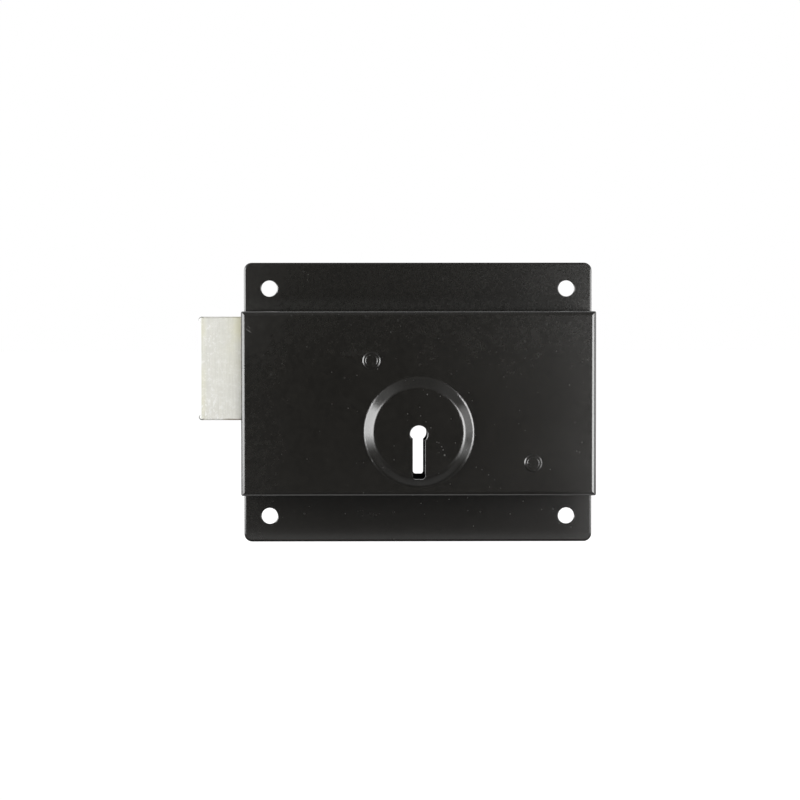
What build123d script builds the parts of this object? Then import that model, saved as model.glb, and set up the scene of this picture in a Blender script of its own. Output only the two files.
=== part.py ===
from build123d import *
from math import atan2, degrees, hypot, radians, sin, sqrt, tan
import os

os.makedirs("parts", exist_ok=True)

# Frame of the lock, in millimetres
# +X runs to the right across the case, and the bolt comes out at -X. +Z is up.
# The front faces -Y. Depths are counted from the face of the door towards the front.
# The origin is the middle of the four fixing screws, on the face of the door.

# Pressed case
case_width = 101.6
case_height = 52.8
case_depth = 16.0
sheet = 1.2
bend_radius = 0.1
flange_inset = 0.2
flange_reach = 14.2
flange_corner_radius = 2.3
flange_bevel_width = 0.5
flange_bevel_depth = 0.27
case_corner_radius = 0.6
flap_slit = 0.25

# Fixing screw holes in the flanges
screw_inset_x = 7.4
screw_inset_z = 7.5
screw_hole_diameter = 4.7
screw_hole_bevel_width = 0.25
screw_hole_bevel_depth = 0.2

# Raised boss round the keyhole
boss_above_key = 0.5
boss_foot_radius = 15.6
boss_top_radius = 13.05
boss_rise = 2.45
boss_foot_fillet = 0.95
boss_top_fillet = 1.5
boss_land = 0.1

# Keyholes, front and back, on one key axis
key_above_bottom = 17.75
keyhole_diameter = 5.0
keyhole_slot_width = 3.55
keyhole_reach = 12.9
keyhole_corner_radius = 0.8
keyhole_round_bevel_width = 0.18
keyhole_round_bevel_depth = 0.16
keyhole_slot_bevel = 0.12
rear_keyhole_diameter = 4.9
rear_slot_width = 2.95
rear_reach = 12.15
rear_corner_radius = 0.8

# Back plate
plate_side_gap = 0.15

# Studs riveted in the front: lever pivot at upper left, plain pillar at lower right
pivot_left_of_key = 13.5
pivot_below_wall = 12.9
pillar_from_end = 18.1
pillar_above_bottom = 9.4
stud_diameter = 6.0
tenon_diameter = 4.0
rivet_head_diameter = 5.15
rivet_head_height = 0.45
rivet_head_bevel_width = 0.35
rivet_head_bevel_depth = 0.24
rivet_crown_diameter = 3.2
rivet_crown_height = 0.09
rivet_crown_bevel_width = 0.15

# Countersunk screws that hold the back plate to the studs
cap_screw_diameter = 3.0
cap_screw_length = 6.5
cap_screw_head_angle = 90.0
cap_screw_slot_width = 0.8
cap_screw_slot_depth = 0.6
thread_clearance = 0.02
countersink_clearance = 0.04

# Bolt
throw = 12.0
bolt_projection = 12.1
bolt_height = 29.6
bolt_lever_clearance = 5.3
bolt_side_clearance = 0.35
bolt_top_clearance = 0.3
bolt_under_clearance = 0.3
bolt_corner_radius = 0.9
bolt_bevel = 0.4

# Bolt tail, its rivets and the stump that the levers hold
tail_thickness = 3.0
tail_tongue = 12.0
tail_above_slot = 3.4
tail_past_stump = 5.0
tail_corner_radius = 2.0
slot_play = 0.3
slot_side_clearance = 0.08
bolt_rivet_diameter = 3.0
bolt_rivet_spacing = 8.0
stump_x = 9.0
stump_below_pivot = 2.3
stump_diameter = 4.0

# Key sweep that the talon and the levers are cut for
key_bit_clearance = 0.2
key_bit_thickness = 2.7
key_play = 1.0
talon_headroom = 0.6
talon_corner_radius = 0.8
lever_step = 1.4
lever_step_clearance = 0.1

# Levers
lever_thickness = 2.0
lever_gap = 0.3
lever_end_float = 0.1
lever_drop_angle = 8.0
lever_pivot_clearance = 0.05
lever_boss_radius = 6.2
lever_rim = 2.5
lever_corner_radius = 1.6
lever_head_radius = 4.5
belly_depth = 2.0
belly_foot = 2.2
gate_clearance = 0.3

# Lever springs, flat strip staked into the top edge of each lever
spring_thickness = 0.5
spring_side_inset = 0.1
spring_root_x = -2.0
spring_root_depth = 2.6
spring_rise = 1.4
spring_bend_radius = 0.9
spring_reach = 21.0
spring_curl = 2.2
spring_curl_drop = 0.8
spring_wall_gap = 0.15

# Spacer tubes on the pivot stud
spacer_diameter = 9.0
spacer_bore_clearance = 0.05

# Ring wards round the key axis
ward_diameter = 16.6
ward_thickness = 1.0
ward_height = 2.2
ward_gap_margin = 1.0

# Sizes worked out from the ones above
half_width = case_width / 2
half_height = case_height / 2
flange_width = case_width - 2 * flange_inset
bend_outside = bend_radius + sheet
front_inside = case_depth - sheet
wall_inside = half_height - sheet
flange_edge_z = half_height + flange_reach
flap_edge_z = wall_inside - flap_slit
screw_spacing_x = flange_width - 2 * screw_inset_x
screw_spacing_z = 2 * (flange_edge_z - screw_inset_z)
key_z = key_above_bottom - half_height
boss_z = key_z + boss_above_key
boss_depth = case_depth + boss_rise
boss_inside = boss_depth - sheet
flank_angle = atan2(boss_rise, boss_foot_radius - boss_top_radius)
flank_step = sheet * tan(flank_angle / 2)
boss_rim_radius = boss_foot_radius + boss_foot_fillet * tan(flank_angle / 2) + boss_land

pivot_x = -pivot_left_of_key
pivot_z = wall_inside - pivot_below_wall
pillar_x = half_width - pillar_from_end
pillar_z = pillar_above_bottom - half_height
stump_z = pivot_z - stump_below_pivot

bolt_window_front = case_depth - bend_outside
bolt_back = sheet + bolt_side_clearance
bolt_front = bolt_window_front - bolt_side_clearance
bolt_middle = (bolt_back + bolt_front) / 2
bolt_top_z = wall_inside - bolt_top_clearance
bolt_bottom_z = bolt_top_z - bolt_height
bolt_end_x = -half_width - bolt_projection
bolt_inner_x = pivot_x - lever_boss_radius - bolt_lever_clearance - throw

tail_back = bolt_middle - tail_thickness / 2
tail_front = bolt_middle + tail_thickness / 2
rear_lever_front = tail_back - lever_gap
rear_lever_back = rear_lever_front - lever_thickness
front_lever_back = tail_front + lever_gap
front_lever_front = front_lever_back + lever_thickness

key_bit_reach = rear_reach - key_bit_clearance
talon_width = key_bit_thickness + key_play
bite_half = (throw + key_play) / 2
tail_bottom_z = key_z + sqrt(key_bit_reach**2 - bite_half**2)
talon_top_z = key_z + key_bit_reach + talon_headroom
tail_slot_height = stud_diameter + 2 * slot_side_clearance
tail_top_z = pivot_z + tail_slot_height / 2 + tail_above_slot
tail_end_x = stump_x + tail_past_stump
tongue_end_x = bolt_inner_x - tail_tongue

belly_radius = key_bit_reach - lever_step + lever_step_clearance
belly_edge_z = key_z + belly_radius - belly_depth
belly_half = sqrt(belly_radius**2 - (belly_radius - belly_depth) ** 2)
gate_half = stump_diameter / 2 + gate_clearance
lever_end_x = stump_x + throw + gate_half + lever_rim
ward_gap = keyhole_slot_width + 2 * ward_gap_margin


def level(depth):
    """Sketch plane at a depth from the door: local x is X, local y is Z."""
    return Plane.XZ.offset(depth)


def add_keyhole(diameter, width, reach, corner):
    """Keyhole added to the sketch being drawn: a round on the key axis and a slot below it."""
    with Locations((0, key_z)):
        slot = Rectangle(width, reach, align=(Align.CENTER, Align.MAX))
    fillet(slot.vertices().group_by(Axis.Y)[0], radius=corner)
    with Locations((0, key_z)):
        Circle(diameter / 2)


def turning_plane(x, z):
    """Half section of a turned piece: local x is its radius, local y its depth."""
    return Plane(origin=(x, 0, z), x_dir=(1, 0, 0), z_dir=(0, 0, -1))


def depth_axis(x, z):
    """Line through (x, z) that runs from the door to the front."""
    return Axis((x, 0, z), (0, -1, 0))


def stump_pocket(x):
    """Arc that the stump, at x, makes in a lever that drops round the pivot."""
    reach = hypot(x - pivot_x, stump_z - pivot_z)
    start = degrees(atan2(stump_z - pivot_z, x - pivot_x))
    return reach, start


def lever_top():
    """Height of the lever's top edge, one rim above the far pocket."""
    reach, start = stump_pocket(stump_x + throw)
    return pivot_z + reach * sin(radians(start + lever_drop_angle)) + gate_half + lever_rim


lever_top_z = lever_top()

# Case shell
# Hat section with the front, the two long walls and the flanges
with BuildPart() as case_shell:
    with BuildSketch(Plane.YZ):
        with BuildLine():
            FilletPolyline(
                (-sheet, -flange_edge_z),
                (-sheet, -half_height),
                (-case_depth, -half_height),
                (-case_depth, half_height),
                (-sheet, half_height),
                (-sheet, flange_edge_z),
                radius=(bend_radius, bend_outside, bend_outside, bend_radius),
            )
            offset(amount=sheet, side=Side.RIGHT)
        make_face()
    extrude(amount=half_width, both=True)

    # Behind the front, the flanges and long walls end a little inside the end flaps
    with BuildSketch(level(0)):
        Rectangle(case_width, 2 * flange_edge_z)
        Rectangle(flange_width, 2 * flange_edge_z, mode=Mode.SUBTRACT)
    extrude(amount=front_inside - bend_radius, mode=Mode.SUBTRACT)

    # The hat stops short of its end bends, where the end flaps take over
    with BuildSketch(level(front_inside - bend_radius)):
        Rectangle(case_width, 2 * flap_edge_z)
        Rectangle(2 * (half_width - bend_outside), 2 * flap_edge_z, mode=Mode.SUBTRACT)
    extrude(amount=sheet + bend_radius, mode=Mode.SUBTRACT)

    # Front panel with the two end flaps folded back from it
    with BuildSketch(Plane.XY):
        with BuildLine():
            FilletPolyline(
                (-half_width, -sheet),
                (-half_width, -case_depth),
                (half_width, -case_depth),
                (half_width, -sheet),
                radius=bend_outside,
            )
            offset(amount=sheet, side=Side.LEFT)
        make_face()
    extrude(amount=flap_edge_z, both=True)

    # Front corners where the four bends meet, closed over the slits and rounded both ways
    with BuildSketch(Plane.XY.offset(flap_edge_z), Plane.XY.offset(-half_height)):
        with Locations((half_width - bend_outside, bend_outside - case_depth)):
            Rectangle(bend_outside, bend_outside, align=(Align.MIN, Align.MAX))
            Circle(bend_outside, mode=Mode.SUBTRACT)
        mirror(about=Plane.YZ)
    extrude(amount=half_height - flap_edge_z, mode=Mode.SUBTRACT)
    with BuildSketch(level(bend_outside)):
        Rectangle(case_width, case_height)
        RectangleRounded(case_width, case_height, case_corner_radius, mode=Mode.SUBTRACT)
    extrude(amount=case_depth - bend_outside, mode=Mode.SUBTRACT)

    # Rounded flange corners and bevelled flange edges
    flange_corners = case_shell.edges().filter_by(Axis.Y).group_by(lambda e: abs(e.center().Z))[-1]
    fillet(flange_corners, radius=flange_corner_radius)
    with BuildPart(mode=Mode.PRIVATE) as flange_bevel:
        with BuildSketch(level(sheet - flange_bevel_depth)):
            Rectangle(case_width, 2 * (flange_edge_z + flange_bevel_width))
            Rectangle(case_width, 2 * (half_height + bend_radius), mode=Mode.SUBTRACT)
        extrude(amount=flange_bevel_depth)
        with BuildSketch(level(sheet - flange_bevel_depth)):
            RectangleRounded(flange_width, 2 * flange_edge_z, flange_corner_radius)
        extrude(
            amount=flange_bevel_depth,
            taper=degrees(atan2(flange_bevel_width, flange_bevel_depth)),
            mode=Mode.SUBTRACT,
        )
    add(flange_bevel.part, mode=Mode.SUBTRACT)

    # Window for the bolt in the left end flap
    with BuildSketch(level(0)):
        window_bottom = bolt_bottom_z - bolt_under_clearance
        with Locations((-half_width, window_bottom)):
            Rectangle(2 * bend_outside, wall_inside - window_bottom, align=(Align.CENTER, Align.MIN))
    extrude(amount=bolt_window_front, mode=Mode.SUBTRACT)

    # Boss, drawn up out of the front panel
    with BuildSketch(level(front_inside)):
        with Locations((0, boss_z)):
            Circle(boss_rim_radius)
    extrude(amount=sheet, mode=Mode.SUBTRACT)
    with BuildSketch(turning_plane(0, boss_z)):
        with BuildLine():
            FilletPolyline(
                (boss_rim_radius, case_depth),
                (boss_foot_radius, case_depth),
                (boss_top_radius, boss_depth),
                (0, boss_depth),
                radius=(boss_foot_fillet, boss_top_fillet),
            )
            Polyline(
                (0, boss_depth),
                (0, boss_inside),
                (boss_top_radius - flank_step, boss_inside),
                (boss_foot_radius - flank_step, front_inside),
                (boss_rim_radius, front_inside),
                (boss_rim_radius, case_depth),
            )
        make_face()
    revolve(axis=depth_axis(0, boss_z))

    # Keyhole through the boss, its front edge bevelled where the boss is flat, most at the round
    with BuildSketch(level(boss_depth)):
        add_keyhole(keyhole_diameter, keyhole_slot_width, keyhole_reach, keyhole_corner_radius)
    extrude(amount=-(boss_rise + sheet), mode=Mode.SUBTRACT)
    with BuildSketch(level(boss_depth)):
        add_keyhole(
            keyhole_diameter + 2 * keyhole_slot_bevel,
            keyhole_slot_width + 2 * keyhole_slot_bevel,
            keyhole_reach + keyhole_slot_bevel,
            keyhole_corner_radius + keyhole_slot_bevel,
        )
    extrude(amount=-keyhole_slot_bevel, taper=45, mode=Mode.SUBTRACT)
    with BuildSketch(turning_plane(0, key_z)):
        with BuildLine():
            Polyline(
                (0, boss_depth),
                (keyhole_diameter / 2 + keyhole_round_bevel_width, boss_depth),
                (keyhole_diameter / 2, boss_depth - keyhole_round_bevel_depth),
                (0, boss_depth - keyhole_round_bevel_depth),
                close=True,
            )
        make_face()
    revolve(axis=depth_axis(0, key_z), mode=Mode.SUBTRACT)

    # Fixing screw holes, punched through with a flat bevel round the front edge
    with Locations(level(sheet)):
        with GridLocations(screw_spacing_x, screw_spacing_z, 2, 2):
            CounterSinkHole(
                screw_hole_diameter / 2,
                screw_hole_diameter / 2 + screw_hole_bevel_width,
                depth=sheet,
                counter_sink_angle=2 * degrees(atan2(screw_hole_bevel_width, screw_hole_bevel_depth)),
            )

    # Holes for the riveted tenons of the studs
    with Locations(level(case_depth)):
        with Locations((pivot_x, pivot_z), (pillar_x, pillar_z)):
            Hole(tenon_diameter / 2 + thread_clearance, depth=sheet)
case_shell.part.label = "case_shell"
export_step(case_shell.part, "parts/case_shell.step")

# Back plate
# Flat cover between the flanges, seated on the end flaps and on the studs
with BuildPart() as back_plate:
    with BuildSketch(level(0)):
        Rectangle(case_width, 2 * (wall_inside - plate_side_gap))
    extrude(amount=sheet)
    with BuildSketch(level(sheet)):
        add_keyhole(rear_keyhole_diameter, rear_slot_width, rear_reach, rear_corner_radius)
    extrude(amount=-sheet, mode=Mode.SUBTRACT)
    screw_head_radius = cap_screw_diameter / 2 + sheet
    with Locations(Plane.back):
        with Locations((-pivot_x, pivot_z), (-pillar_x, pillar_z)):
            CounterSinkHole(
                cap_screw_diameter / 2 + countersink_clearance,
                screw_head_radius + countersink_clearance,
                depth=sheet,
                counter_sink_angle=cap_screw_head_angle,
            )
back_plate.part.label = "back_plate"
export_step(back_plate.part, "parts/back_plate.step")


# Studs
def make_stud(x, z):
    """Turned stud with a tenon riveted over the front, bored for a cap screw."""
    head_front = case_depth + rivet_head_height
    head_radius = rivet_head_diameter / 2
    crown_radius = rivet_crown_diameter / 2
    with BuildPart() as stud:
        with BuildSketch(turning_plane(x, z)):
            with BuildLine():
                Polyline(
                    (0, sheet),
                    (stud_diameter / 2, sheet),
                    (stud_diameter / 2, front_inside),
                    (tenon_diameter / 2, front_inside),
                    (tenon_diameter / 2, case_depth),
                    (head_radius, case_depth),
                    (head_radius, head_front - rivet_head_bevel_depth),
                    (head_radius - rivet_head_bevel_width, head_front),
                    (crown_radius + rivet_crown_bevel_width, head_front),
                    (crown_radius, head_front + rivet_crown_height),
                    (0, head_front + rivet_crown_height),
                    close=True,
                )
            make_face()
        revolve(axis=depth_axis(x, z))
        with BuildSketch(level(sheet)):
            with Locations((x, z)):
                Circle(cap_screw_diameter / 2 + thread_clearance)
        extrude(amount=cap_screw_length, mode=Mode.SUBTRACT)
    return stud


pivot_stud = make_stud(pivot_x, pivot_z)
pivot_stud.part.label = "pivot_stud"
export_step(pivot_stud.part, "parts/pivot_stud.step")

cap_pillar = make_stud(pillar_x, pillar_z)
cap_pillar.part.label = "cap_pillar"
export_step(cap_pillar.part, "parts/cap_pillar.step")


# Screws of the back plate
def make_cap_screw(x, z):
    """Slotted countersunk screw whose head fills the thickness of the back plate."""
    radius = cap_screw_diameter / 2
    with BuildPart() as screw:
        with BuildSketch(turning_plane(x, z)):
            with BuildLine():
                Polyline(
                    (0, 0),
                    (radius + sheet, 0),
                    (radius, sheet),
                    (radius, cap_screw_length),
                    (0, cap_screw_length),
                    close=True,
                )
            make_face()
        revolve(axis=depth_axis(x, z))
        with BuildSketch(level(0)):
            with Locations((x, z)):
                Rectangle(2 * screw_head_radius, cap_screw_slot_width)
        extrude(amount=cap_screw_slot_depth, mode=Mode.SUBTRACT)
    return screw


cap_screw_upper = make_cap_screw(pivot_x, pivot_z)
cap_screw_upper.part.label = "cap_screw_upper"
export_step(cap_screw_upper.part, "parts/cap_screw_upper.step")

cap_screw_lower = make_cap_screw(pillar_x, pillar_z)
cap_screw_lower.part.label = "cap_screw_lower"
export_step(cap_screw_lower.part, "parts/cap_screw_lower.step")


# Spacers
def make_spacer(back, front):
    """Tube on the pivot stud that keeps a lever at its depth."""
    with BuildPart() as spacer:
        with BuildSketch(level(back)):
            with Locations((pivot_x, pivot_z)):
                Circle(spacer_diameter / 2)
                Circle(stud_diameter / 2 + spacer_bore_clearance, mode=Mode.SUBTRACT)
        extrude(amount=front - back)
    return spacer


rear_spacer = make_spacer(sheet, rear_lever_back - lever_end_float)
rear_spacer.part.label = "rear_spacer"
export_step(rear_spacer.part, "parts/rear_spacer.step")

front_spacer = make_spacer(front_lever_front + lever_end_float, front_inside)
front_spacer.part.label = "front_spacer"
export_step(front_spacer.part, "parts/front_spacer.step")


# Wards
def make_ward(back):
    """Ring ward round the key axis, open below where the key goes in."""
    radius = ward_diameter / 2
    with BuildPart() as ward:
        with BuildSketch(level(back)):
            with Locations((0, key_z)):
                Circle(radius)
                Circle(radius - ward_thickness, mode=Mode.SUBTRACT)
                Rectangle(ward_gap, radius, align=(Align.CENTER, Align.MAX), mode=Mode.SUBTRACT)
        extrude(amount=ward_height)
    return ward


rear_ward = make_ward(sheet)
rear_ward.part.label = "rear_ward"
export_step(rear_ward.part, "parts/rear_ward.step")

front_ward = make_ward(boss_inside - ward_height)
front_ward.part.label = "front_ward"
export_step(front_ward.part, "parts/front_ward.step")

# Bolt head
# Solid block, drawn thrown, with a milled slot for the tongue of the tail
bolt_length = bolt_inner_x - bolt_end_x
rivet_x = bolt_inner_x - tail_tongue / 2
rivet_mid_z = (tail_bottom_z + tail_top_z) / 2
rivet_places = [
    (rivet_x, rivet_mid_z + bolt_rivet_spacing / 2),
    (rivet_x, rivet_mid_z - bolt_rivet_spacing / 2),
]
with BuildPart() as bolt_head:
    with BuildSketch(level(bolt_back)):
        with Locations((bolt_end_x, bolt_bottom_z)):
            Rectangle(bolt_length, bolt_height, align=(Align.MIN, Align.MIN))
    extrude(amount=bolt_front - bolt_back)
    fillet(
        bolt_head.edges().filter_by(Axis.Y).group_by(Axis.X)[0],
        radius=bolt_corner_radius,
    )
    side_edges = [
        edge
        for edge in bolt_head.faces().filter_by(Axis.Y).edges()
        if edge.center().X < bolt_inner_x - bolt_bevel
    ]
    chamfer(side_edges, length=bolt_bevel)
    with BuildSketch(level(tail_back)):
        with Locations((bolt_inner_x, tail_bottom_z)):
            Rectangle(tail_tongue, tail_top_z - tail_bottom_z, align=(Align.MAX, Align.MIN))
    extrude(amount=tail_thickness, mode=Mode.SUBTRACT)
    with Locations(level(bolt_front)):
        with Locations(*rivet_places):
            Hole(bolt_rivet_diameter / 2 + thread_clearance, depth=bolt_front - bolt_back)
bolt_head.part.label = "bolt_head"
export_step(bolt_head.part, "parts/bolt_head.step")

# Bolt tail
# Flat plate between the levers, slotted over the pivot stud, with the talon below
with BuildPart() as bolt_tail:
    with BuildSketch(level(tail_back)):
        with Locations((tongue_end_x, tail_bottom_z)):
            plate = Rectangle(
                tail_end_x - tongue_end_x,
                tail_top_z - tail_bottom_z,
                align=(Align.MIN, Align.MIN),
            )
        fillet(plate.vertices().sort_by(Axis.X)[-2:], radius=tail_corner_radius)
        with Locations((-throw / 2, tail_bottom_z)):
            talon_height = 2 * (talon_top_z - tail_bottom_z)
            RectangleRounded(talon_width, talon_height, talon_corner_radius, mode=Mode.SUBTRACT)
        with Locations((pivot_x - throw / 2, pivot_z)):
            SlotCenterToCenter(throw + 2 * slot_play, tail_slot_height, mode=Mode.SUBTRACT)
        with Locations((stump_x, stump_z)):
            Circle(stump_diameter / 2 + thread_clearance, mode=Mode.SUBTRACT)
        with Locations(*rivet_places):
            Circle(bolt_rivet_diameter / 2 + thread_clearance, mode=Mode.SUBTRACT)
    extrude(amount=tail_thickness)
bolt_tail.part.label = "bolt_tail"
export_step(bolt_tail.part, "parts/bolt_tail.step")

# Rivets of the bolt
for name, place in zip(("upper", "lower"), rivet_places):
    with BuildPart() as bolt_rivet:
        with BuildSketch(level(bolt_back)):
            with Locations(place):
                Circle(bolt_rivet_diameter / 2)
        extrude(amount=bolt_front - bolt_back)
    bolt_rivet.part.label = f"bolt_rivet_{name}"
    export_step(bolt_rivet.part, f"parts/bolt_rivet_{name}.step")

# Stump
# Pin through the tail that stands in the gates of both levers
with BuildPart() as bolt_stump:
    with BuildSketch(level(rear_lever_back + lever_end_float)):
        with Locations((stump_x, stump_z)):
            Circle(stump_diameter / 2)
    extrude(amount=front_lever_front - rear_lever_back - 2 * lever_end_float)
bolt_stump.part.label = "bolt_stump"
export_step(bolt_stump.part, "parts/bolt_stump.step")


# Levers
def make_lever(back):
    """Lever drawn lifted by the key, with its gate level with the stump."""
    left = pivot_x - lever_boss_radius
    with BuildPart() as lever:
        with BuildSketch(level(back)) as outline:
            with BuildLine():
                Polyline(
                    (left, lever_top_z),
                    (left, pivot_z - lever_boss_radius / 2),
                    (-belly_half - belly_foot, belly_edge_z),
                    (belly_half + belly_foot, belly_edge_z),
                    (lever_end_x, stump_z - gate_half - lever_rim),
                    (lever_end_x, lever_top_z),
                    close=True,
                )
            make_face()
            head = outline.vertices().group_by(Axis.X)[0].sort_by(Axis.Y)[-1]
            fillet(head, radius=lever_head_radius)
            corners = [v for v in outline.vertices() if v.Y < pivot_z or v.X > stump_x]
            fillet(corners, radius=lever_corner_radius)
            with Locations((0, key_z)):
                Circle(belly_radius, mode=Mode.SUBTRACT)
            with Locations((pivot_x, pivot_z)):
                Circle(stud_diameter / 2 + lever_pivot_clearance, mode=Mode.SUBTRACT)

            # Gate along the throw, with a pocket up into the lever at each end
            with Locations((stump_x + throw / 2, stump_z)):
                SlotCenterToCenter(throw, 2 * gate_half, mode=Mode.SUBTRACT)
            for pocket_x in (stump_x, stump_x + throw):
                reach, start = stump_pocket(pocket_x)
                with BuildLine(mode=Mode.PRIVATE) as pocket:
                    CenterArc((pivot_x, pivot_z), reach, start, lever_drop_angle)
                SlotArc(pocket.edge(), 2 * gate_half, mode=Mode.SUBTRACT)

            # Narrow slit in the top edge for the root of the spring
            with Locations((spring_root_x, lever_top_z)):
                Rectangle(
                    spring_thickness,
                    spring_root_depth,
                    align=(Align.CENTER, Align.MAX),
                    mode=Mode.SUBTRACT,
                )
        extrude(amount=lever_thickness)
    return lever


rear_lever = make_lever(rear_lever_back)
rear_lever.part.label = "rear_lever"
export_step(rear_lever.part, "parts/rear_lever.step")

front_lever = make_lever(front_lever_back)
front_lever.part.label = "front_lever"
export_step(front_lever.part, "parts/front_lever.step")


# Lever springs
def make_spring(back):
    """Flat strip spring that bears under the top wall and presses the lever down."""
    touch_z = wall_inside - spring_wall_gap - spring_thickness / 2
    tip_x = spring_root_x + spring_reach
    with BuildPart() as spring:
        with BuildSketch(level(back + spring_side_inset)):
            with BuildLine() as strip:
                FilletPolyline(
                    (spring_root_x, lever_top_z - spring_root_depth),
                    (spring_root_x, lever_top_z + spring_rise),
                    (tip_x, touch_z),
                    (tip_x + spring_curl, touch_z - spring_curl_drop),
                    radius=spring_bend_radius,
                )
            trace(strip.line, line_width=spring_thickness)
        extrude(amount=lever_thickness - 2 * spring_side_inset)
    return spring


rear_lever_spring = make_spring(rear_lever_back)
rear_lever_spring.part.label = "rear_lever_spring"
export_step(rear_lever_spring.part, "parts/rear_lever_spring.step")

front_lever_spring = make_spring(front_lever_back)
front_lever_spring.part.label = "front_lever_spring"
export_step(front_lever_spring.part, "parts/front_lever_spring.step")
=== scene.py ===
import math

import bpy
from mathutils import Matrix, Vector


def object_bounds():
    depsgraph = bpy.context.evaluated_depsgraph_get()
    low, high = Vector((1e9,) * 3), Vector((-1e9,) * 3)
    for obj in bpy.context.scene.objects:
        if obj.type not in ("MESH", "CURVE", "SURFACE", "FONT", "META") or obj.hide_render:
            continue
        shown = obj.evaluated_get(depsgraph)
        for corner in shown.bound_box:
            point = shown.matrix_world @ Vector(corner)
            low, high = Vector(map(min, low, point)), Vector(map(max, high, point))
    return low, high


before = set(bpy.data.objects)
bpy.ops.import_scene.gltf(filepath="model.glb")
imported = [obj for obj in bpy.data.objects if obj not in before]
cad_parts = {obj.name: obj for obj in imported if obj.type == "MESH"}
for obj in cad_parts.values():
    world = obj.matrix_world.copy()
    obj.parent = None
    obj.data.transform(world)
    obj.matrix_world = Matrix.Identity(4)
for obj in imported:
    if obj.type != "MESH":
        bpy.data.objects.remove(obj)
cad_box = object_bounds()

MM = 0.001

# Places on the lock in mm, as the solids have them, and where the painted shade on the rim of a bolt
# corner lies
CASE_FRONT = 16.0
BOLT_LEFT = -62.9
BOLT_BOTTOM, BOLT_TOP = -4.7, 24.9
BOLT_CORNER = 0.9
CORNER_RIM_START, CORNER_RIM_FULL = 0.56, 0.72

# Black stoved enamel, colours as linear light
ENAMEL_TONE = (0.0084, 0.0075, 0.0057)
ENAMEL_BACK_TONE = (0.018, 0.018, 0.017)
ENAMEL_INDEX = 1.65
ENAMEL_SPECULAR = 1.0
# Grey of dust, also laid on the upper flange as painted light
DUST_AND_LIGHT_GREY = (0.16, 0.16, 0.15)

# Plated and brushed bolt, colours as linear light
PLATE_DARK, PLATE_LIGHT = (0.685, 0.68, 0.625), (0.74, 0.735, 0.675)
PLATE_STREAK = (0.66, 0.65, 0.57)
PLATE_BLOOM = (0.86, 0.86, 0.82)
PLATE_FLECK = (0.90, 0.90, 0.88)
PLATE_PIT = (0.66, 0.65, 0.60)
PLATE_YELLOW = (0.74, 0.72, 0.52)
PLATE_SCUFF = (0.97, 0.97, 0.95)
# Near-white of the painted highlight along the front of the bolt's left edge
PAINTED_EDGE_HIGHLIGHT = (0.98, 0.98, 0.97)
EDGE_SHADE = (0.35, 0.35, 0.34)
UPPER_CORNER_SHADE = (0.22, 0.22, 0.21)
LOWER_CORNER_SHADE = (0.07, 0.07, 0.065)
RUST_BROWN = (0.20, 0.12, 0.06)
# Darker tones that paint shade on the end face of the bolt, which faces the left soft light
SHADED_END_DARK, SHADED_END_LIGHT = (0.42, 0.415, 0.375), (0.54, 0.535, 0.49)

# Turned steel under the paint of the studs
TURNED_DARK, TURNED_LIGHT = (0.34, 0.34, 0.33), (0.5, 0.5, 0.48)

# Grain of rolled and turned metal, stretched along the lock or along its height
ALONG_X = (0.08, 1.0, 1.0)
ALONG_Z = (1.0, 1.0, 0.08)

# Light that the room gives to what isn't a reflection, where 1 is white
ROOM_FILL = 0.15

# How bright the room and the floor look in reflections, where 1 is white
ROOM_FRONT = 0.02
ROOM_CEILING = 0.13
ROOM_LEFT = 0.25
ROOM_RIGHT = 0.12
FLOOR_GLOW = 0.93
FLOOR_CLOSE_GLOW = 0.62
FLOOR_RIGHT_GLOW = 4.2
FLOOR_LEFT_GLOW = 2.0

# Half the side of the floor, and its gap under the lock, in metres
FLOOR_HALF = 6.0
FLOOR_GAP = 0.02 * MM

# Colours of the floor: its pale paper, and what reflections see of it before the lock
PAPER_DARK, PAPER_LIGHT = (0.44, 0.44, 0.44), (0.46, 0.46, 0.46)
FLOOR_DIM = (0.12, 0.12, 0.12, 1.0)
WHITE = (1, 1, 1, 1)

# Soft lights: name, degrees from the front (+ is right), height, distance, width, tall in m, radiance
SOFT_LIGHTS = [
    ("right soft light", 50, -0.008, 0.22, 0.16, 0.175, 5.6),
    ("right side light", 88, 0.02, 0.26, 0.14, 0.21, 1.15),
    ("left soft light", -68, 0.037, 0.22, 0.22, 0.152, 4.7),
    ("back light", 205, 0.25, 0.80, 0.50, 0.40, 1.7),
]

# Camera: its aim, distance, lens and sensor in mm, its turns in degrees
CAMERA_AIM = (-5.36, -16.0, 1.06)
CAMERA_DISTANCE = 754.5
CAMERA_PITCH, CAMERA_YAW, CAMERA_ROLL = 1.57, -0.58, -0.05
CAMERA_LENS = 118.88
CAMERA_SENSOR = 36.0

# Nearest and furthest place that the camera sees, in metres
CAMERA_NEAR, CAMERA_FAR = 0.01, 50.0

# Small chips and dust marks round the boss, (x, z, radius) in mm
CHIPS = [
    (6.5, -12.2, 0.20),
    (6.9, -13.1, 0.22),
    (7.3, -14.6, 0.30),
    (0.5, -3.4, 0.16),
    (2.0, -5.1, 0.16),
    (3.4, -6.8, 0.16),
    (10.4, -11.1, 0.18),
    (5.1, -10.9, 0.14),
    (2.4, 2.7, 0.20),
    (6.1, 2.2, 0.18),
    (-7.1, -15.9, 0.16),
    (-10.2, -18.2, 0.18),
]

# Scratches at the upper left corner of the front: start, end and width in mm
SCRATCHES = [
    ((-49.6, 21.6), (-47.6, 20.2), 0.10),
    ((-48.9, 22.3), (-48.0, 21.5), 0.08),
]


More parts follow.
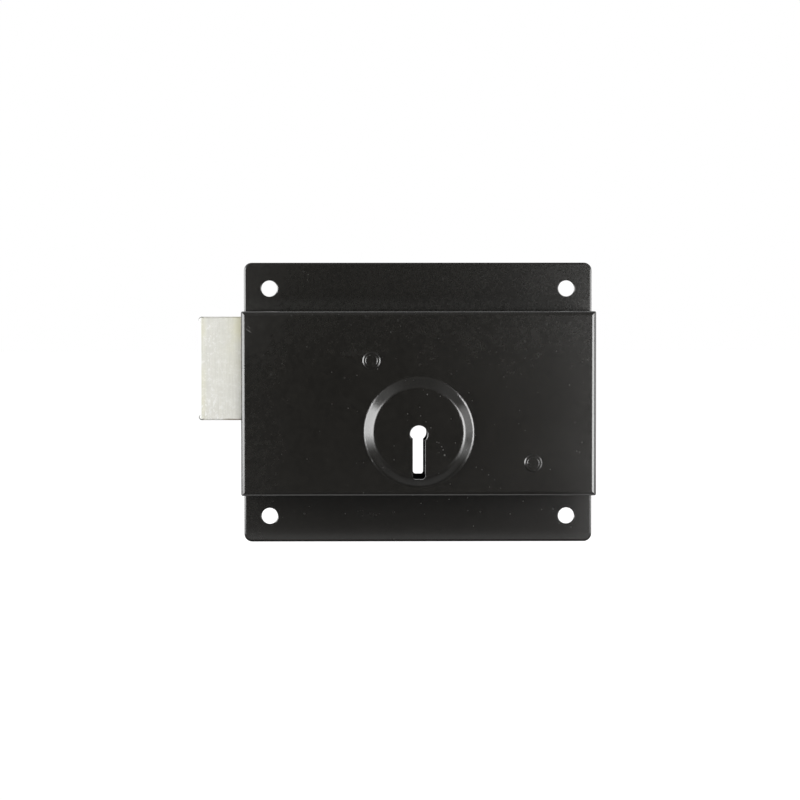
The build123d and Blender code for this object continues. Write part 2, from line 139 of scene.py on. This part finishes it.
class Field:
    """A value that varies over a surface: an output socket that Python's operators work on."""

    def __init__(self, tree, socket=None):
        self.tree = tree
        self.socket = socket

    def node(self, kind, inputs=None, output=0, **settings):
        """Adds a node, sets its settings, then the values or links of its sockets."""
        new = self.tree.nodes.new(kind)
        for name, setting in settings.items():
            setattr(new, name, setting)
        for name, value in (inputs or {}).items():
            if isinstance(value, Field):
                self.tree.links.new(value.socket, new.inputs[name])
            else:
                new.inputs[name].default_value = value
        return Field(self.tree, new.outputs[output] if new.outputs else None)

    def beside(self, output):
        """Another output of the node that this value comes from."""
        return Field(self.tree, self.socket.node.outputs[output])

    def math(self, operation, *values, clamp=False):
        return self.node(
            "ShaderNodeMath", dict(enumerate(values)), operation=operation, use_clamp=clamp
        )

    def __add__(self, other):
        return self.math("ADD", self, other)

    def __radd__(self, other):
        return self.math("ADD", other, self)

    def __sub__(self, other):
        return self.math("SUBTRACT", self, other)

    def __rsub__(self, other):
        return self.math("SUBTRACT", other, self)

    def __mul__(self, other):
        return self.math("MULTIPLY", self, other)

    def __rmul__(self, other):
        return self.math("MULTIPLY", other, self)

    def __abs__(self):
        return self.math("ABSOLUTE", self)

    def clip(self):
        return self.math("ADD", self, 0.0, clamp=True)

    def between(self, low, high):
        """0 at low, 1 at high, with a smooth run between them; high may be the smaller."""
        return self.node(
            "ShaderNodeMapRange",
            {"Value": self, "From Min": low, "From Max": high},
            interpolation_type="SMOOTHSTEP",
        )

    def between_mm(self, low, high):
        """The same run for a coordinate, with its two ends in mm."""
        return self.between(low * MM, high * MM)


class Surface:
    """A new procedural material: the coordinates of its pieces and its finish.

    The scale of a pattern counts its cells per metre, so 1000 is one cell to the millimetre.
    """

    def __init__(self, name):
        self.material = bpy.data.materials.new(name)
        self.material.use_nodes = True
        self.tree = self.material.node_tree
        self.tree.nodes.clear()
        self.root = Field(self.tree)
        self.place = self.root.node("ShaderNodeTexCoord", output="Object")
        self.x = self.root.node("ShaderNodeSeparateXYZ", {"Vector": self.place}, output="X")
        self.y = self.x.beside("Y")
        self.z = self.x.beside("Z")

    def stretched(self, x, y, z):
        """Coordinates with each axis scaled, for grain that runs one way."""
        return self.root.node(
            "ShaderNodeMapping", {"Vector": self.place, "Scale": (x, y, z)}, vector_type="POINT"
        )

    def noise(self, scale, detail=2.0, roughness=0.5, vector=None):
        return self.root.node(
            "ShaderNodeTexNoise",
            {
                "Vector": vector or self.place,
                "Scale": scale,
                "Detail": detail,
                "Roughness": roughness,
            },
        )

    def specks(self, scale, size, share):
        """Scattered round dots: size is a part of a cell, and share the part of the cells with one."""
        inputs = {"Vector": self.place, "Scale": scale}
        near = self.root.node("ShaderNodeTexVoronoi", inputs, output="Distance")
        lot = self.root.node("ShaderNodeSeparateColor", {"Color": near.beside("Color")})
        return near.between(size, size * 0.4) * lot.math("LESS_THAN", lot, share)

    def mix(self, mask, low, high):
        """Colour low where mask is 0 and high where it is 1."""
        low, high = (c if isinstance(c, Field) else (*c, 1.0) for c in (low, high))
        return self.root.node(
            "ShaderNodeMix", {0: mask, 6: low, 7: high}, output=2, data_type="RGBA", clamp_factor=True
        )

    def layered(self, ground, layers):
        """Colour ground with each (mask, colour) of layers laid over it in turn."""
        for mask, color in layers:
            ground = self.mix(mask, ground, color)
        return ground

    def bump(self, height, depth, below=None):
        """Normal of a relief: height from 0 to 1 stands depth metres high."""
        inputs = {"Strength": 1.0, "Distance": depth, "Height": height}
        if below:
            inputs["Normal"] = below
        return self.root.node("ShaderNodeBump", inputs)

    def finish(self, **sockets):
        """Closes the material with one Principled shader."""
        names = {
            "base_color": "Base Color",
            "roughness": "Roughness",
            "metallic": "Metallic",
            "normal": "Normal",
            "specular": "Specular IOR Level",
            "index": "IOR",
        }
        inputs = {names[name]: value for name, value in sockets.items()}
        shader = self.root.node("ShaderNodeBsdfPrincipled", inputs)
        self.root.node("ShaderNodeOutputMaterial", {"Surface": shader})
        return self.material


def scaled(color, factor):
    return tuple(channel * factor for channel in color)


def hypotenuse(dx, dz):
    """Distance to a place, from its two parts."""
    return dx.math("SQRT", dx * dx + dz * dz)


def spot(surface, x, z, radius):
    """Soft round mark on the front at (x, z) mm."""
    far = hypotenuse(surface.x - x * MM, surface.z - z * MM)
    return far.between_mm(radius, 0.35 * radius)


def stroke(surface, start, end, width):
    """Fine straight scratch on the front between two points, in mm."""
    length = math.dist(start, end)
    along = ((end[0] - start[0]) / length, (end[1] - start[1]) / length)
    middle = ((start[0] + end[0]) / 2, (start[1] + end[1]) / 2)
    dx = surface.x - middle[0] * MM
    dz = surface.z - middle[1] * MM
    run = abs(dx * along[0] + dz * along[1])
    off = abs(dz * along[0] - dx * along[1])
    ends = run.between_mm(length / 2, length / 4)
    return off.between_mm(width, 0.3 * width) * ends


def front_marks(paint):
    """Chips round the boss and scratches at the upper left corner."""
    chips = spot(paint, *CHIPS[0])
    for chip in CHIPS[1:]:
        chips = chips + spot(paint, *chip)
    scratches = stroke(paint, *SCRATCHES[0])
    for scratch in SCRATCHES[1:]:
        scratches = scratches + stroke(paint, *scratch)
    return chips * 1.6 + scratches * 1.2


def black_enamel(name, tone, gloss, marked_front=True):
    """Stoved black enamel on pressed steel: a little uneven, dusty, with fine chips and rubs, and
    painted light on the upper flange close above the case.
    """
    paint = Surface(name)
    cloud = paint.noise(scale=55, detail=3)
    peel = paint.noise(scale=1500, detail=1)
    grain = paint.noise(scale=900, detail=3, roughness=0.6)
    swell = paint.noise(scale=38, detail=1)
    rubs = paint.noise(scale=260, detail=3, vector=paint.stretched(0.12, 1, 1)).between(0.6, 0.9)

    dust = paint.specks(scale=560, size=0.10, share=0.22) * 0.8
    dust = dust + paint.specks(scale=240, size=0.05, share=0.35)
    dust = dust + paint.specks(scale=330, size=0.14, share=0.10) * 0.25
    marks = dust.clip() * 0.8
    if marked_front:
        marks = marks + front_marks(paint)
    marks = marks.clip()

    # Painted light on the upper flange close above the case: dust grey laid where the case shades the
    # flange from the room's light
    ledge_painted_light = paint.z.between_mm(31.5, 27.6) * paint.z.between_mm(26.5, 27.3)
    ledge_painted_light = ledge_painted_light * paint.y.between_mm(-1.6, -1.3)
    body = paint.layered(
        paint.mix(cloud.between(0.3, 0.7), scaled(tone, 0.85), tone),
        [
            (grain.between(0.3, 0.8) * 0.5, scaled(tone, 1.9)),
            (ledge_painted_light * grain.between(0.1, 0.6) * 0.12, DUST_AND_LIGHT_GREY),
            (marks * 0.5, DUST_AND_LIGHT_GREY),
        ],
    )

    # The paint is duller towards the upper and the left edge
    high = paint.z.between_mm(5, 25)
    outer = paint.x.between_mm(-32, -50)
    edges = (high + outer).clip() * 0.6 + high * outer
    uneven = (cloud - 0.5) * 0.04 + (grain - 0.5) * 0.08
    rough = gloss + uneven + marks * 0.22 + rubs * 0.02 + edges * 0.035

    relief = paint.bump(swell, depth=25e-6)
    relief = paint.bump(peel, depth=0.9e-6, below=relief)
    return paint.finish(
        base_color=body,
        roughness=rough,
        normal=relief,
        specular=ENAMEL_SPECULAR,
        index=ENAMEL_INDEX,
    )


def corner_rim(surface, corner_z, inward):
    """Thin rim of the bolt's rounded left corner at the height corner_z mm; inward is +1 or -1 in z."""
    dx = (surface.x - (BOLT_LEFT + BOLT_CORNER) * MM) * -1.0
    dz = (surface.z - (corner_z + inward * BOLT_CORNER) * MM) * -float(inward)
    outside = dx.between_mm(-BOLT_CORNER, 0.1) * dz.between_mm(-BOLT_CORNER, 0.1)
    return hypotenuse(dx, dz).between_mm(CORNER_RIM_START, CORNER_RIM_FULL) * outside


def plated_bolt(name):
    """Plated steel, brushed along its height, yellowed at the edges, scuffed where it meets the keep,
    with a painted highlight along the front of its left edge and painted shade at its outermost left
    edge, its corners and its end face.
    """
    steel = Surface(name)
    lines = steel.noise(scale=3400, detail=2, vector=steel.stretched(1, 1, 0.035))
    broad = steel.noise(scale=700, detail=3, vector=steel.stretched(1, 1, 0.05))
    mottle = steel.noise(scale=320, detail=4, roughness=0.65)
    flecks = steel.noise(scale=1300, detail=2, roughness=0.6)
    tarnish = steel.noise(scale=90, detail=3)
    scuffs = steel.noise(scale=900, detail=2, vector=steel.stretched(1, 1, 0.6)).between(0.55, 0.64)

    # Places on the bolt: 1 inside each of them
    pale = steel.x.between_mm(-55, -61)
    upper_right = steel.z.between_mm(4, 24) * steel.x.between_mm(-58.5, -51)
    left = steel.x.between_mm(-60.2, -61.8)
    front = steel.y.between_mm(-13.3, -13.8)
    # Painted highlight: a near-white band along the front of the left edge, where its rounded edge would
    # reflect the white room
    rolled = steel.x.between_mm(-61.95, -62.2) * front
    end = steel.x.between_mm(-62.3, -62.8) * (1 - front)
    brink = steel.x.between_mm(-62.62, -62.8)
    lower_left = steel.z.between_mm(4.5, -2.5) * steel.x.between_mm(-54.5, -59)
    rust = steel.z.between_mm(-4.15, -4.5) * steel.x.between_mm(-57, -54)

    yellow = (upper_right * 0.95 + left * 0.6) * tarnish.between(0.3, 0.62)
    scuffs = scuffs * lower_left
    # Painted shade: a darker tone on the end face, which faces the left soft light
    shaded_end_tone = steel.mix(mottle.between(0.35, 0.7), SHADED_END_DARK, SHADED_END_LIGHT)
    tone = steel.layered(
        steel.mix(lines.between(0.3, 0.7), PLATE_DARK, PLATE_LIGHT),
        [
            (broad.between(0.4, 0.75) * 0.15, PLATE_STREAK),
            (mottle.between(0.4, 0.7) * 0.25, PLATE_BLOOM),
            (flecks.between(0.5, 0.7) * (0.3 + pale * 0.3), PLATE_FLECK),
            (flecks.between(0.45, 0.3) * 0.25, PLATE_PIT),
            (yellow * 0.75, PLATE_YELLOW),
            (scuffs * 0.8, PLATE_SCUFF),
            (rolled * 0.85, PAINTED_EDGE_HIGHLIGHT),
            # Painted shade along the outermost left edge and on the rims of the two rounded corners
            (brink * 0.25, EDGE_SHADE),
            (corner_rim(steel, BOLT_TOP, -1) * 0.85, UPPER_CORNER_SHADE),
            (corner_rim(steel, BOLT_BOTTOM, 1), LOWER_CORNER_SHADE),
            (rust * 0.65, RUST_BROWN),
            (end * 0.9, shaded_end_tone),
        ],
    )
    rough = 0.54 + lines * 0.08 + mottle * 0.06 - scuffs * 0.14

    relief = steel.bump(lines, depth=2e-6)
    relief = steel.bump(broad, depth=1.2e-6, below=relief)
    relief = steel.bump(scuffs, depth=6e-6, below=relief)
    return steel.finish(base_color=tone, roughness=rough, metallic=0.18, normal=relief)


def sheet_metal(name, dark, light, gloss, grain=ALONG_Z, stain=None):
    """Plain rolled or turned metal inside the lock: fine grain, stains and a film of oil."""
    metal = Surface(name)
    lines = metal.noise(scale=1800, detail=2, vector=metal.stretched(*grain))
    blotch = metal.noise(scale=130, detail=4, roughness=0.6)
    pits = metal.specks(scale=900, size=0.22, share=0.25)
    tone = metal.mix(lines.between(0.3, 0.7), dark, light)
    if stain:
        tone = metal.mix(blotch.between(0.45, 0.75) * 0.6, tone, stain)
    tone = metal.mix(pits * 0.35, tone, scaled(dark, 0.4))
    rough = gloss + blotch * 0.16 + lines * 0.08
    relief = metal.bump(lines, depth=2e-6)
    relief = metal.bump(pits, depth=-3e-6, below=relief)
    return metal.finish(base_color=tone, roughness=rough, metallic=1.0, normal=relief)


def painted_stud(name, tone, gloss):
    """Turned steel stud whose riveted head was painted with the case."""
    stud = Surface(name)
    painted = stud.y.between_mm(-15.92, -15.98)
    peel = stud.noise(scale=1500, detail=1)
    turned = stud.noise(scale=1400, detail=1, vector=stud.stretched(0.1, 1, 0.1))
    dust = stud.specks(scale=700, size=0.12, share=0.25)
    top = stud.y.between_mm(-16.3, -16.5)
    worn = stud.noise(scale=700, detail=3).between(0.62, 0.74) * top
    paint = stud.mix(dust * 0.5 + worn * 0.25, tone, DUST_AND_LIGHT_GREY)
    steel = stud.mix(turned, TURNED_DARK, TURNED_LIGHT)
    return stud.finish(
        base_color=stud.mix(painted, steel, paint),
        roughness=gloss + dust * 0.2 + (1 - painted) * 0.12,
        metallic=1 - painted,
        normal=stud.bump(peel, depth=0.9e-6),
        specular=ENAMEL_SPECULAR,
        index=ENAMEL_INDEX,
    )


case_enamel = black_enamel("black stoved enamel", ENAMEL_TONE, gloss=0.25)
back_enamel = black_enamel(
    "black enamel of the back", ENAMEL_BACK_TONE, gloss=0.36, marked_front=False
)
stud_finish = painted_stud("stud with a painted head", ENAMEL_TONE, gloss=0.26)
bolt_finish = plated_bolt("brushed plate of the bolt")
inner_steel = sheet_metal(
    "oiled inner steel",
    dark=(0.33, 0.33, 0.32),
    light=(0.47, 0.465, 0.45),
    gloss=0.28,
    stain=(0.24, 0.19, 0.14),
)
lever_brass = sheet_metal(
    "rolled lever brass",
    dark=(0.62, 0.44, 0.19),
    light=(0.76, 0.58, 0.30),
    gloss=0.24,
    grain=ALONG_X,
    stain=(0.42, 0.27, 0.12),
)
spring_steel = sheet_metal(
    "blued spring strip",
    dark=(0.10, 0.115, 0.16),
    light=(0.20, 0.215, 0.26),
    gloss=0.22,
    grain=ALONG_X,
)
screw_zinc = sheet_metal(
    "zinc of the cap screws",
    dark=(0.48, 0.48, 0.46),
    light=(0.62, 0.62, 0.59),
    gloss=0.26,
    stain=(0.40, 0.38, 0.30),
)

FINISHES = {
    "case_shell": case_enamel,
    "back_plate": back_enamel,
    "pivot_stud": stud_finish,
    "cap_pillar": stud_finish,
    "cap_screw_upper": screw_zinc,
    "cap_screw_lower": screw_zinc,
    "bolt_head": bolt_finish,
    "bolt_tail": inner_steel,
    "bolt_rivet_upper": inner_steel,
    "bolt_rivet_lower": inner_steel,
    "bolt_stump": inner_steel,
    "front_ward": inner_steel,
    "rear_ward": inner_steel,
    "front_spacer": inner_steel,
    "rear_spacer": inner_steel,
    "front_lever": lever_brass,
    "rear_lever": lever_brass,
    "front_lever_spring": spring_steel,
    "rear_lever_spring": spring_steel,
}
for node_name, material in FINISHES.items():
    for material_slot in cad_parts[node_name].material_slots:
        material_slot.material = material


def white_floor():
    """Pale floor that shows as the white ground and keeps the lock's shadow.

    Reflections see it white behind the lock, dim further out, and glowing as painted light in a strip
    close before it and where the side lights stand over it.
    """
    floor = Surface("white floor")
    x, y = floor.x, floor.y
    camera_ray = floor.root.node("ShaderNodeLightPath", output="Is Camera Ray")
    glossy = camera_ray.beside("Is Glossy Ray")
    clear = camera_ray.beside("Is Transmission Ray")
    tone = floor.mix(floor.noise(scale=30, detail=2), PAPER_DARK, PAPER_LIGHT)
    paper = floor.root.node("ShaderNodeBsdfPrincipled", {"Base Color": tone, "Roughness": 1.0})
    dim = floor.root.node("ShaderNodeBsdfDiffuse", {"Color": FLOOR_DIM})
    before = y.between_mm(10, -4)
    ground = floor.root.node("ShaderNodeMixShader", {0: glossy * before, 1: paper, 2: dim})

    # Where the floor glows as painted light in reflections
    behind = y.between_mm(20, 300)
    close = y.between_mm(-16.5, -13.5) * y.between_mm(-5, -9)
    right = x.between_mm(40, 115) * x.between_mm(260, 180)
    right = right * (x * 0.55 + y).between_mm(65, -30) * (x + y * 0.5).between_mm(0, 30)
    left = x.between_mm(-70, -160) * x.between_mm(-400, -250)
    left = left * before * (y - x * 1.15).between_mm(0, 40)
    mirrored = behind * FLOOR_GLOW + close * FLOOR_CLOSE_GLOW + right * FLOOR_RIGHT_GLOW + left * FLOOR_LEFT_GLOW
    level = glossy * mirrored + (1 - glossy) * (camera_ray + clear).clip() * FLOOR_GLOW
    glow = floor.root.node("ShaderNodeEmission", {"Color": WHITE, "Strength": level})
    both = floor.root.node("ShaderNodeAddShader", {0: ground, 1: glow})
    floor.root.node("ShaderNodeOutputMaterial", {"Surface": both})
    return floor.material


def lay_floor():
    level = cad_box[0][2] - FLOOR_GAP
    corners = [
        (-FLOOR_HALF, -FLOOR_HALF, level),
        (FLOOR_HALF, -FLOOR_HALF, level),
        (FLOOR_HALF, FLOOR_HALF, level),
        (-FLOOR_HALF, FLOOR_HALF, level),
    ]
    mesh = bpy.data.meshes.new("floor")
    mesh.from_pydata(corners, [], [(0, 1, 2, 3)])
    mesh.materials.append(white_floor())
    floor = bpy.data.objects.new("floor", mesh)
    bpy.context.collection.objects.link(floor)


def light_room():
    """World: white to the camera, white behind the lock and dimmer before it in reflections."""
    world = bpy.data.worlds.new("studio")
    bpy.context.scene.world = world
    world.use_nodes = True
    world.node_tree.nodes.clear()
    root = Field(world.node_tree)
    camera_ray = root.node("ShaderNodeLightPath", output="Is Camera Ray")
    glossy = camera_ray.beside("Is Glossy Ray")
    clear = camera_ray.beside("Is Transmission Ray")
    way = root.node("ShaderNodeTexCoord", output="Generated")
    across = root.node("ShaderNodeSeparateXYZ", {"Vector": way}, output="X")
    height = across.beside("Z")
    # The ends of these runs are parts of the direction, from -1 to 1
    to_back = across.beside("Y").between(0.02, 0.45) * height.between(1.0, 0.85)
    upward = height.between(0.05, 0.75)
    sides = across.between(-0.25, -0.7) * ROOM_LEFT + across.between(0.25, 0.7) * ROOM_RIGHT
    room = ROOM_FRONT + upward * (ROOM_CEILING - ROOM_FRONT) + height.between(0.45, 0.75) * sides
    mirrored = room + to_back * (1 - room)
    shown = (camera_ray + clear).clip()
    level = ROOM_FILL * (1 - (shown + glossy).clip()) + mirrored * glossy * (1 - shown) + shown
    backdrop = root.node("ShaderNodeBackground", {"Color": WHITE, "Strength": level})
    root.node("ShaderNodeOutputWorld", {"Surface": backdrop})


def soft_light(name, polar, height, distance, width, tall, radiance):
    """Rectangular soft light aimed at the middle of the front, with the same brightness at any size."""
    aim = Vector((0, -CASE_FRONT * MM, 0))
    angle = math.radians(polar)
    out = Vector((math.sin(angle) * distance, -math.cos(angle) * distance, height))
    light = bpy.data.lights.new(name, "AREA")
    light.shape = "RECTANGLE"
    light.size = width
    light.size_y = tall
    light.energy = radiance * math.pi * width * tall
    lamp = bpy.data.objects.new(name, light)
    lamp.location = aim + out
    lamp.rotation_euler = (-out).to_track_quat("-Z", "Y").to_euler()
    lamp.visible_camera = False
    bpy.context.collection.objects.link(lamp)


def set_camera():
    """Long lens straight in front of the case, a hair above it and to its left."""
    camera = bpy.data.cameras.new("camera")
    camera.sensor_width = CAMERA_SENSOR
    camera.lens = CAMERA_LENS
    camera.clip_start = CAMERA_NEAR
    camera.clip_end = CAMERA_FAR
    holder = bpy.data.objects.new("camera", camera)
    aim = Vector(CAMERA_AIM) * MM
    pitch, yaw, roll = map(math.radians, (CAMERA_PITCH, CAMERA_YAW, CAMERA_ROLL))
    back = Vector((math.sin(yaw) * math.cos(pitch), -math.cos(yaw) * math.cos(pitch), math.sin(pitch)))
    holder.location = aim + back * CAMERA_DISTANCE * MM
    turn = (aim - holder.location).to_track_quat("-Z", "Y").to_matrix()
    holder.rotation_euler = (turn @ Matrix.Rotation(roll, 3, "Z")).to_euler()
    bpy.context.collection.objects.link(holder)
    bpy.context.scene.camera = holder


lay_floor()
light_room()
for soft_light_row in SOFT_LIGHTS:
    soft_light(*soft_light_row)
set_camera()
bpy.context.scene.view_settings.view_transform = "Standard"
